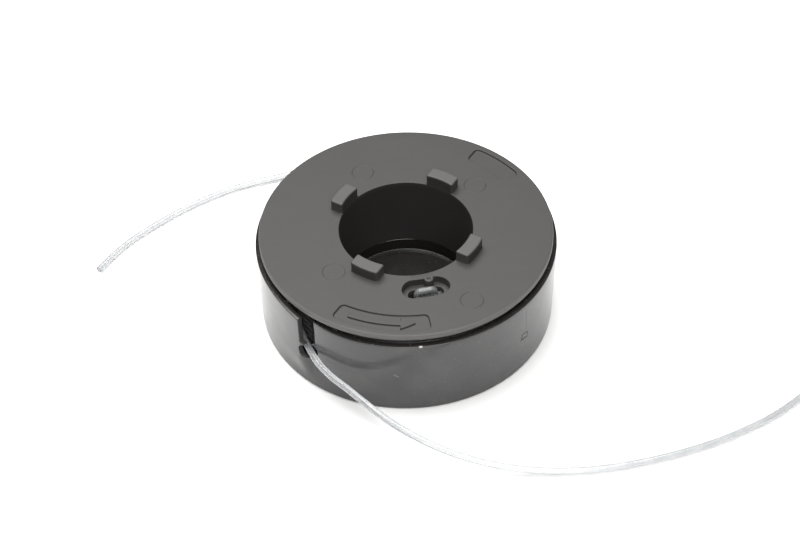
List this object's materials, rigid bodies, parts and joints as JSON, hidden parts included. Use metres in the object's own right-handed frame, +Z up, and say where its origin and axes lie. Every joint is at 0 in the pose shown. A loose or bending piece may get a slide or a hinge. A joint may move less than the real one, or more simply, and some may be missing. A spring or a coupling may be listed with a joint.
{
  "type": "twin-line trimmer reel cassette",
  "caption": "Round cassette of a flanged line reel that turns in a cup-shaped casing, with a nylon cutting line looped on its flange and leaving through two keyhole slots.",
  "frame": {"origin": "centre of the casing's round underside", "axes": "+Z up along the axis that the reel turns on, from the underside to the drive dogs; +X to the right with the front line slot at 229 degrees from +X"},
  "size_m": [0.1704, 0.1037, 0.027],
  "materials": {
    "casing_plastic": "glossy black moulded plastic with faint handling scuffs",
    "reel_plastic": "satin warm dark-grey moulded plastic",
    "nylon_line": "clear, slightly milky nylon with bright highlights"
  },
  "bodies": {
    "casing": {"casing": "casing_plastic"},
    "line_ends": {"line_end_front": "nylon_line", "line_end_rear": "nylon_line"},
    "reel": {"reel": "reel_plastic", "line_winding": "nylon_line", "line_loop": "nylon_line"}
  },
  "joints": [
    {"name": "lift_out", "type": "slide", "parent": "casing", "child": "line_ends", "axis": [0, 0, 1], "range_m": [0, 0.026]},
    {"name": "reel_spin", "type": "hinge", "parent": "line_ends", "child": "reel", "pos_m": [0, 0, 0], "axis": [0, 0, 1], "continuous": true}
  ]
}
